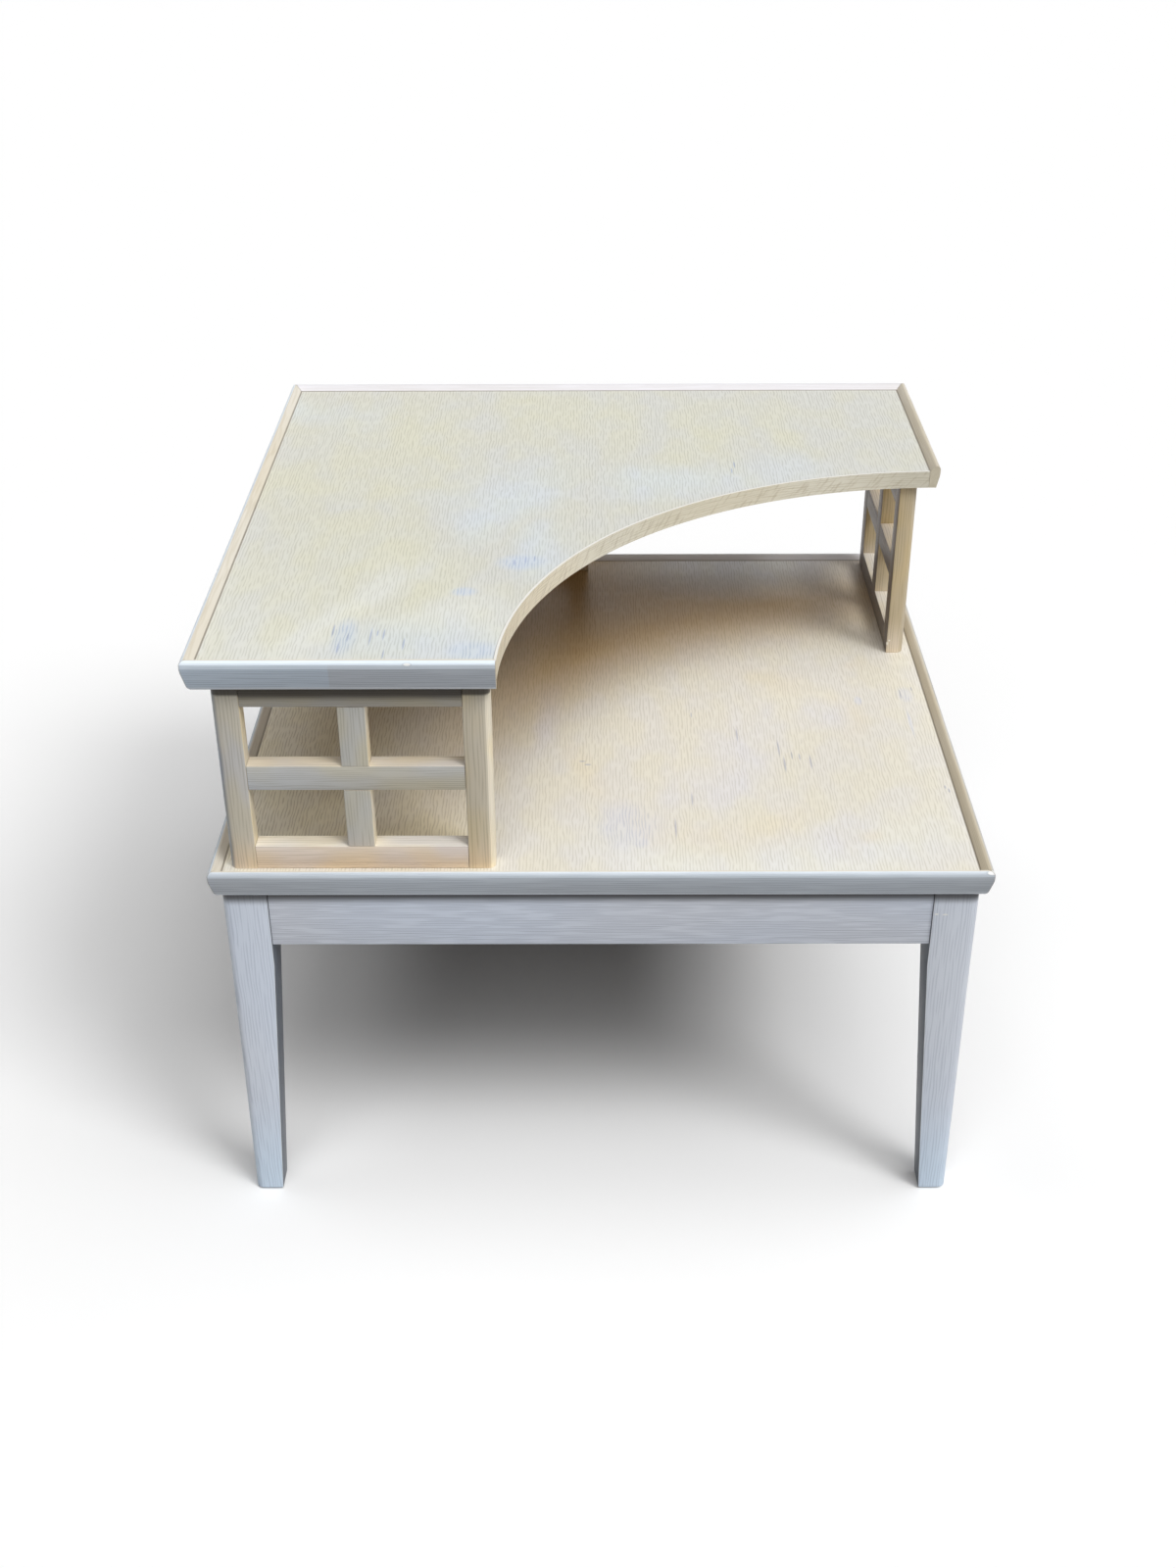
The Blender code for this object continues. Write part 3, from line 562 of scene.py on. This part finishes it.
def lip_colour(finish, oak, place, side):
    """Cream lip with the dark joint at its foot."""
    colour = oak.fibred(oak.clouded(LIP_TONES[side]), LIP_PORE)
    inset = finish.math("SUBTRACT", HALF_SIDE, finish.vector("DOT_PRODUCT", place, OUTWARD[side]))
    return finish.layer(colour, finish.between(inset, *LIP_JOINT_STEP), *LIP_JOINT)


def outer_colour(finish, oak, place, tier, side):
    """Greyed outer face and near white nose, pale from wear and from a painted highlight, with a pale eaves
    line, a dark underside and two chips.
    """
    x, _, z = finish.split(place)
    face = oak.clouded(FACE_TONES[tier])
    if (tier, side) == ("upper", "front"):
        face = finish.layer(face, finish.between(x, *VENEER_JOINT_STEP), *NEXT_VENEER)
    face = oak.fibred(face, FACE_PORE)
    nose = oak.clouded(RIGHT_NOSE_WEAR_AND_HIGHLIGHT_TONES if side == "right" else NOSE_WEAR_AND_HIGHLIGHT_TONES[tier])
    nose = oak.fibred(nose, NOSE_PORE)
    height = finish.math("SUBTRACT", z, DECK_TOPS[tier])
    shoulder = finish.between(height, SHOULDER_FOOT[tier] - BLEND, SHOULDER_FOOT[tier] + BLEND)
    crest = finish.between(height, NOSE_FOOT[tier] - BLEND, NOSE_FOOT[tier] + BLEND)
    pale = finish.math("MAXIMUM", finish.math("MULTIPLY", shoulder, SHOULDER_HIGHLIGHT_SHARE), crest)
    colour = finish.mix(pale, face, nose)
    downward = finish.facing(DOWN)
    colour = finish.layer(colour, finish.between(downward, *EAVES_TURN), *EAVES)
    colour = finish.layer(colour, finish.between(downward, *EDGE_UNDERSIDE_TURN), *EDGE_UNDERSIDE)
    chips = spots(finish, place, EDGE_CHIPS, 0.0)
    colour = finish.layer(colour, finish.between(chips, *CHIP_RIM_STEP), *CHIP_RIM)
    return finish.layer(colour, finish.between(chips, *CHIP_CORE_STEP), *CHIP_CORE)


def mitre_line(finish, place):
    """1 along the diagonals, where two mouldings meet."""
    x, y, _ = finish.split(place)
    off_mitre = finish.math("SUBTRACT", finish.math("ABSOLUTE", x), finish.math("ABSOLUTE", y))
    return finish.between(finish.math("ABSOLUTE", off_mitre), *MITRE_STEP)


def edge_finish(name, tier, side, seed):
    """Moulding: outer face and nose, lip, mitres, and end grain like the band beside it."""
    finish = Finish(name)
    oak = Oak(finish, grain_place(finish, ALONG[side], seed), *EDGE_GRAIN)
    place = finish.place()
    lip = lip_colour(finish, oak, place, side)
    outer = outer_colour(finish, oak, place, tier, side)
    colour = finish.mix(finish.between(finish.facing(OUTWARD[side]), *OUTER_TURN), lip, outer)
    colour = finish.layer(colour, mitre_line(finish, place), *MITRE)
    lengthwise = finish.math("ABSOLUTE", finish.facing(AXES[ALONG[side]]))
    end = finish.between(lengthwise, *END_TURN)
    finish.colour(finish.mix(end, colour, oak.fibred(END_TONE, END_PORE)))
    oak.surface(*EDGE_SURFACE)
    return finish.material


# Curved band: painted light at its left and painted shade at its right, from one x to another

BAND_TONES = (paint(227, 224, 211), paint(219, 212, 192))
BAND_PORE = (0.90, 0.88, 0.84, 1.0)
# Painted highlight on the band's upper face.
BAND_TOP_HIGHLIGHT = paint(238, 236, 230)
BAND_HIGHLIGHT_TURN = (0.3, 0.8)
BAND_GRAIN = (0.025, 0.0026)
BAND_SURFACE = (DEEP_PORE_DEPTH, 0.40, 0.55, 0.30)
# Painted light at the band's left and painted shade at its right.
BAND_PAINTED_LIGHT = (0.8, paint(246, 234, 208))
BAND_LIGHT_STEP = (0.03, -0.09)
BAND_PAINTED_SHADE = (0.7, paint(204, 198, 180))
BAND_SHADE_STEP = (0.26, 0.36)
FLECKS = (0.28, paint(160, 144, 114))
FLECK_STRETCH = (230, 55, 1)
FLECK_DETAIL = 1.5
FLECK_STEP = (0.52, 0.66)
FLECK_SLANT = 0.9


def band_finish():
    """Strip along the cut-out: grain follows the curve, crossed by short slanting flecks."""
    finish = Finish("band_oak")
    x, y, z = finish.split(finish.place())
    right = finish.math("SUBTRACT", x, HALF_SIDE)
    ahead = finish.math("ADD", y, HALF_SIDE)
    along = finish.math("MULTIPLY", finish.math("ARCTAN2", ahead, right), CUT_RADIUS)
    oak = Oak(finish, finish.join(along, z, 0.0), *BAND_GRAIN)
    slanted = finish.join(finish.math("MULTIPLY_ADD", z, FLECK_SLANT, along), z, 0.0)
    flecks = finish.between(finish.noise(slanted, FLECK_STRETCH, FLECK_DETAIL), *FLECK_STEP)
    colour = oak.clouded(BAND_TONES)
    colour = finish.layer(colour, finish.between(x, *BAND_LIGHT_STEP), *BAND_PAINTED_LIGHT)
    colour = finish.layer(colour, finish.between(x, *BAND_SHADE_STEP), *BAND_PAINTED_SHADE)
    colour = oak.fibred(colour, BAND_PORE)
    colour = finish.layer(colour, flecks, *FLECKS)
    finish.colour(finish.mix(finish.between(finish.facing(UP), *BAND_HIGHLIGHT_TURN), colour, BAND_TOP_HIGHLIGHT))
    oak.surface(*BAND_SURFACE)
    return finish.material


# Legs and aprons

LEG_TONES = (paint(212, 220, 233), paint(215, 220, 229))
LEG_PORE = (0.87, 0.875, 0.89, 1.0)
LEG_GRAIN = (0.035, 0.0030)
APRON_TONES = (paint(213, 221, 235), paint(214, 218, 227))
APRON_PORE = (0.74, 0.745, 0.76, 1.0)
APRON_GRAIN = (0.035, 0.0024)
BASE_SURFACE = (PORE_DEPTH, 0.40, 0.56, 0.30)
FOOT = (0.8, paint(213, 231, 248))
FOOT_STEP = (0.14, 0.0)
# Painted highlight on the inner arrises and painted shade on the inner faces of legs and aprons.
INNER_ARRIS_HIGHLIGHT = (0.80, paint(255, 253, 248))
INNER_HIGHLIGHT_TURN = (0.20, 0.40)
INNER_FACE_SHADE = (0.88, paint(66, 77, 94))
INNER_SHADE_TURN = (0.70, 0.80)
# Painted shade on legs and aprons close under the lower rim.
BASE_RIM_PAINTED_SHADE = (0.88, paint(60, 58, 57))
BASE_RIM_SHADE_DEPTHS = (0.003, 0.014)
LEG_CHIPS = (
    ((0.3305, -0.371, LOWER_DECK_TOP - 0.0487), (0.003, 0.006, 0.0015)),
    ((0.3390, -0.371, LOWER_DECK_TOP - 0.0492), (0.004, 0.006, 0.0012)),
)
LEG_CHIP = (0.8, paint(248, 246, 240))


def base_finish(name, along, seed, tones, pore, grain):
    """Greyed lavender oak of the base, bluer at the feet, with a painted highlight on inner arrises and
    painted shade on inner faces.
    """
    finish = Finish(name)
    oak = Oak(finish, grain_place(finish, along, seed), *grain)
    place = finish.place()
    x, _, height = finish.split(place)
    colour = finish.layer(oak.clouded(tones), finish.between(height, *FOOT_STEP), *FOOT)
    colour = oak.fibred(colour, pore)
    inward = finish.math("DIVIDE", finish.math("MULTIPLY", x, finish.facing(LEFTWARD)), HALF_SIDE)
    colour = finish.layer(colour, finish.between(inward, *INNER_HIGHLIGHT_TURN), *INNER_ARRIS_HIGHLIGHT)
    colour = finish.layer(colour, finish.between(inward, *INNER_SHADE_TURN), *INNER_FACE_SHADE)
    under_rim_shade = rim_shade(finish, place, LOWER_RIM_UNDERSIDE, *BASE_RIM_SHADE_DEPTHS)
    colour = finish.layer(colour, under_rim_shade, *BASE_RIM_PAINTED_SHADE)
    finish.colour(finish.layer(colour, spots(finish, place, LEG_CHIPS), *LEG_CHIP))
    oak.surface(*BASE_SURFACE)
    return finish.material


# Lattices: paler and deeper tone of each bar, and coats on its left, right and low parts: painted shade on
# the left, painted highlight on the right, painted bounce light low down

# The top rail's tones are darker as painted shade under the upper rim; the bottom rail's are paler, partly
# as painted bounce light from the lower deck.
BAR_TONES = {
    "left_stile": (paint(202, 200, 197), paint(194, 189, 179)),
    "right_stile": (paint(206, 196, 176), paint(198, 185, 158)),
    "muntin": (paint(194, 191, 181), paint(188, 181, 163)),
    "bottom_rail": (paint(227, 218, 211), paint(221, 207, 195)),
    "mid_rail": (paint(195, 196, 195), paint(188, 180, 160)),
    "top_rail": (paint(170, 165, 154), paint(162, 155, 142)),
}
OTHER_TONES = (paint(202, 186, 155), paint(192, 172, 135))
# Coats: painted shade on left faces, painted highlight on right faces, painted bounce light near the lower
# deck.
FRONT_PAINTED_LIGHTS = {
    "left": (0.85, paint(156, 162, 173)),
    "right": (0.9, paint(254, 242, 216)),
    "low": (0.60, paint(228, 204, 175)),
}
OTHER_PAINTED_LIGHTS = {
    "left": (0.85, paint(92, 82, 81)),
    "right": (0.9, paint(206, 190, 160)),
    "low": (0.60, paint(246, 231, 212)),
}
LEFT_SHADE_TURN = (-0.30, -0.80)
RIGHT_HIGHLIGHT_TURN = (0.20, 0.60)
LOW_STEP = (0.05, 0.0)
# Painted highlight on upward faces of the bars, stronger low down.
SHELF_HIGHLIGHT_TONES = (paint(226, 216, 201), paint(254, 250, 238))
SHELF_HIGHLIGHT_SHARE = 0.9
SHELF_HIGHLIGHT_TURN = (0.4, 0.9)
LATTICE_PORE = (0.85, 0.84, 0.81, 1.0)
LATTICE_GRAIN = (0.040, 0.0030)
LATTICE_SURFACE = (PORE_DEPTH, 0.40, 0.56, 0.25)
LATTICE_MOTTLE = ((1.03, 1.005, 0.92, 1.0), (0.97, 0.995, 1.06, 1.0))
# Painted shade on lattice bars close under the upper rim.
LATTICE_RIM_PAINTED_SHADE = (0.88, paint(44, 38, 33))
FRONT_RIM_SHADE_DEPTHS = (0.0095, 0.0130)
TOP_RAIL_RIM_SHADE_DEPTHS = (0.0095, 0.0185)
OTHER_RIM_SHADE_DEPTHS = (-0.0078, -0.0040)
STILE_CHIPS = (
    ((0.3397, 0.102, LOWER_DECK_TOP + 0.012), (0.0022, 0.004, 0.0030)),
    ((0.3420, 0.102, LOWER_DECK_TOP + 0.016), (0.0016, 0.004, 0.0016)),
)
STILE_CHIP = (0.85, paint(246, 242, 232))


def lattice_finish(name, along, seed, tones, painted_lights, rim_shade_depths):
    """Grey-beige oak of a lattice bar, with painted bounce light near the lower deck, painted highlights on
    right and upper faces, and painted shade on left faces and under the upper rim.
    """
    finish = Finish(name)
    grain = grain_place(finish, along, seed)
    oak = Oak(finish, grain, *LATTICE_GRAIN)
    place = finish.place()
    height = finish.math("SUBTRACT", finish.split(place)[2], LOWER_DECK_TOP)
    low = finish.between(height, *LOW_STEP)
    colour = finish.layer(oak.clouded(tones), low, *painted_lights["low"])
    sideways = finish.facing(RIGHTWARD)
    colour = finish.layer(colour, finish.between(sideways, *RIGHT_HIGHLIGHT_TURN), *painted_lights["right"])
    colour = finish.layer(colour, finish.between(sideways, *LEFT_SHADE_TURN), *painted_lights["left"])
    shelf_highlight = finish.mix(low, *SHELF_HIGHLIGHT_TONES)
    colour = finish.layer(colour, finish.between(finish.facing(UP), *SHELF_HIGHLIGHT_TURN), SHELF_HIGHLIGHT_SHARE, shelf_highlight)
    colour = mottled(finish, grain, colour, LATTICE_MOTTLE)
    colour = oak.fibred(colour, LATTICE_PORE)
    under_rim_shade = rim_shade(finish, place, UPPER_RIM_UNDERSIDE, *rim_shade_depths)
    colour = finish.layer(colour, under_rim_shade, *LATTICE_RIM_PAINTED_SHADE)
    finish.colour(finish.layer(colour, spots(finish, place, STILE_CHIPS), *STILE_CHIP))
    oak.surface(*LATTICE_SURFACE)
    return finish.material


# Hidden pieces

RAW_TONES = (paint(214, 188, 146), paint(196, 164, 118))
RAW_PORE = (0.80, 0.74, 0.66, 1.0)
RAW_GRAIN = (0.030, 0.0030)
RAW_SURFACE = (DEEP_PORE_DEPTH, 0.65, 0.80, 0.30)
STEEL_TONES = (paint(176, 176, 178), paint(138, 136, 134))
STEEL_ROUGHNESS = 0.25
STEEL_SHINE = 0.5
TURNING_STRETCH = (900, 900, 4000)
TURNING_ROUGHNESS = 0.2


def raw_wood_finish():
    """Bare hardwood of the corner blocks and dowels."""
    finish = Finish("raw_hardwood")
    oak = Oak(finish, grain_place(finish, "X", seed=5), *RAW_GRAIN)
    finish.colour(oak.fibred(oak.clouded(RAW_TONES), RAW_PORE))
    oak.surface(*RAW_SURFACE)
    return finish.material


def steel_finish():
    """Dull steel of the screws, with fine turning marks."""
    finish = Finish("screw_steel")
    marks = finish.noise(finish.place(), TURNING_STRETCH)
    finish.colour(finish.mix(finish.between(marks, *CLOUD_STEP), *STEEL_TONES))
    finish.shader.inputs["Metallic"].default_value = 1.0
    finish.gloss(finish.math("MULTIPLY_ADD", marks, TURNING_ROUGHNESS, STEEL_ROUGHNESS), STEEL_SHINE)
    return finish.material


# Smooth shading over arcs, crisp at corners

CORNER_ANGLE = math.radians(38)
MERGE_DISTANCE = 0.000005


def soft_shading():
    """Node group that joins the facets of a piece and shades them smoothly up to a corner angle."""
    group = bpy.data.node_groups.new("soft_shading", "GeometryNodeTree")
    group.interface.new_socket("Geometry", in_out="INPUT", socket_type="NodeSocketGeometry")
    group.interface.new_socket("Geometry", in_out="OUTPUT", socket_type="NodeSocketGeometry")
    nodes = group.nodes
    entry = nodes.new("NodeGroupInput")
    leave = nodes.new("NodeGroupOutput")
    merge = nodes.new("GeometryNodeMergeByDistance")
    merge.inputs["Distance"].default_value = MERGE_DISTANCE
    smooth = nodes.new("GeometryNodeSetShadeSmooth")
    smooth.domain = "FACE"
    angle = nodes.new("GeometryNodeInputMeshEdgeAngle")
    corner = nodes.new("FunctionNodeCompare")
    corner.operation = "LESS_EQUAL"
    corner.inputs[1].default_value = CORNER_ANGLE
    crisp = nodes.new("GeometryNodeSetShadeSmooth")
    crisp.domain = "EDGE"
    link = group.links.new
    link(entry.outputs[0], merge.inputs["Geometry"])
    link(merge.outputs[0], smooth.inputs["Geometry"])
    link(smooth.outputs[0], crisp.inputs["Geometry"])
    link(angle.outputs["Unsigned Angle"], corner.inputs[0])
    link(corner.outputs[0], crisp.inputs["Shade Smooth"])
    link(crisp.outputs[0], leave.inputs[0])
    return group


SOFT_SHADING = soft_shading()


def dress(node_name, material):
    """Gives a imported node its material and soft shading."""
    node = NODES[node_name]
    node.data.materials.clear()
    node.data.materials.append(material)
    node.modifiers.new("soft_shading", "NODES").node_group = SOFT_SHADING


def dress_decks():
    upper_patches = {"bleached": UPPER_BLEACHED, "warm": UPPER_WARM, "cool": UPPER_COOL}
    lower_patches = {"bleached": LOWER_BLEACHED, "warm": LOWER_WARM, "cool": LOWER_COOL}
    upper_marks = (UPPER_SCUFFS, UPPER_STROKES)
    lower_marks = (LOWER_SCUFFS, LOWER_STROKES)
    upper = deck_finish("upper_deck_oak", 1, UPPER_TONES, upper_patches, *upper_marks, covered=False)
    lower = deck_finish("lower_deck_oak", 4, LOWER_TONES, lower_patches, *lower_marks, covered=True)
    dress("upper_panel", upper)
    dress("lower_panel", lower)
    dress("cutout_band", band_finish())


def dress_edges():
    for tier_index, tier in enumerate(("lower", "upper")):
        for index, side in enumerate(SIDES):
            name = f"{tier}_edge_{side}"
            seed = len(SIDES) * tier_index + index
            dress(name, edge_finish(f"{name}_oak", tier, side, seed))


def dress_base():
    for index, corner in enumerate(CORNERS):
        name = f"leg_{corner}"
        dress(name, base_finish(f"{name}_oak", "Z", index, LEG_TONES, LEG_PORE, LEG_GRAIN))
    for seed, side in enumerate(SIDES, start=6):
        name = f"apron_{side}"
        dress(name, base_finish(f"{name}_oak", ALONG[side], seed, APRON_TONES, APRON_PORE, APRON_GRAIN))


def dress_lattices():
    for index, lattice in enumerate(("front", "right", "back")):
        for number, (bar, tones) in enumerate(BAR_TONES.items()):
            name = f"{lattice}_lattice_{bar}"
            along = ALONG[lattice] if bar.endswith("rail") else "Z"
            seed = 7 * index + number
            if lattice == "front":
                depths = TOP_RAIL_RIM_SHADE_DEPTHS if bar == "top_rail" else FRONT_RIM_SHADE_DEPTHS
                looks = (tones, FRONT_PAINTED_LIGHTS, depths)
            else:
                looks = (OTHER_TONES, OTHER_PAINTED_LIGHTS, OTHER_RIM_SHADE_DEPTHS)
            dress(name, lattice_finish(f"{name}_oak", along, seed, *looks))


def dress_hidden():
    raw_wood = raw_wood_finish()
    steel = steel_finish()
    for name in NODES:
        if name.endswith("_dowel") or name.startswith("corner_block"):
            dress(name, raw_wood)
        elif name.startswith("block_screw"):
            dress(name, steel)


# Stage

WHITE = paint(255, 255, 255)
FLOOR_BOUNCE = paint(185, 185, 185)


def add_floor():
    """Plain pale floor that keeps the shadow, white where it is seen."""
    half = FLOOR_HALF_WIDTH
    corners = [(-half, -half, 0), (half, -half, 0), (half, half, 0), (-half, half, 0)]
    mesh = bpy.data.meshes.new("floor")
    mesh.from_pydata(corners, [], [(0, 1, 2, 3)])
    floor = bpy.data.objects.new("floor", mesh)
    bpy.context.scene.collection.objects.link(floor)
    finish = Finish("floor_white")
    path = finish.add("ShaderNodeLightPath")
    seen = finish.math("MAXIMUM", path.outputs["Is Camera Ray"], path.outputs["Is Glossy Ray"])
    finish.colour(finish.mix(seen, FLOOR_BOUNCE, WHITE))
    finish.gloss(roughness=1.0, shine=0.0)
    mesh.materials.append(finish.material)


def add_sky():
    """Even white surroundings, plain white where they are seen or mirrored."""
    world = bpy.data.worlds.new("studio")
    world.use_nodes = True
    bpy.context.scene.world = world
    tree = world.node_tree
    background = tree.nodes["Background"]
    background.inputs["Color"].default_value = WHITE
    path = tree.nodes.new("ShaderNodeLightPath")
    seen = tree.nodes.new("ShaderNodeMath")
    seen.operation = "MAXIMUM"
    tree.links.new(path.outputs["Is Camera Ray"], seen.inputs[0])
    tree.links.new(path.outputs["Is Glossy Ray"], seen.inputs[1])
    strength = tree.nodes.new("ShaderNodeMapRange")
    strength.inputs["To Min"].default_value = SKY_LEVEL
    tree.links.new(seen.outputs[0], strength.inputs["Value"])
    tree.links.new(strength.outputs["Result"], background.inputs["Strength"])


def add_lamp(name, level, direction, spread):
    """Broad soft lamp that gives level ground a share of the full light."""
    lamp = bpy.data.lights.new(name, "SUN")
    lamp.energy = level * math.pi / direction.z
    lamp.angle = spread
    holder = bpy.data.objects.new(name, lamp)
    holder.rotation_euler = direction.to_track_quat("Z", "Y").to_euler()
    bpy.context.scene.collection.objects.link(holder)


def add_camera():
    """Camera at the photograph's place and angle."""
    camera = bpy.data.cameras.new("camera")
    camera.sensor_width = SENSOR_LONG_SIDE_MM
    camera.lens = FOCAL_LENGTH_PIXELS * SENSOR_LONG_SIDE_MM / IMAGE_LONG_SIDE
    camera.shift_y = LENS_CENTRE_DROP_PIXELS / IMAGE_LONG_SIDE
    holder = bpy.data.objects.new("camera", camera)
    turn = Matrix.Rotation(CAMERA_YAW, 4, "Z")
    tilt = Matrix.Rotation(math.pi / 2 - CAMERA_PITCH, 4, "X")
    lean = Matrix.Rotation(-CAMERA_ROLL, 4, "Z")
    holder.matrix_world = Matrix.Translation(CAMERA_PLACE) @ turn @ tilt @ lean
    bpy.context.scene.collection.objects.link(holder)
    bpy.context.scene.camera = holder


dress_decks()
dress_edges()
dress_base()
dress_lattices()
dress_hidden()
add_floor()
add_sky()
add_lamp("top_lamp", *TOP_LAMP)
add_lamp("side_lamp", *SIDE_LAMP)
add_lamp("front_lamp", *FRONT_LAMP)
add_lamp("left_lamp", *LEFT_LAMP)
add_camera()
bpy.context.scene.view_settings.view_transform = "Standard"
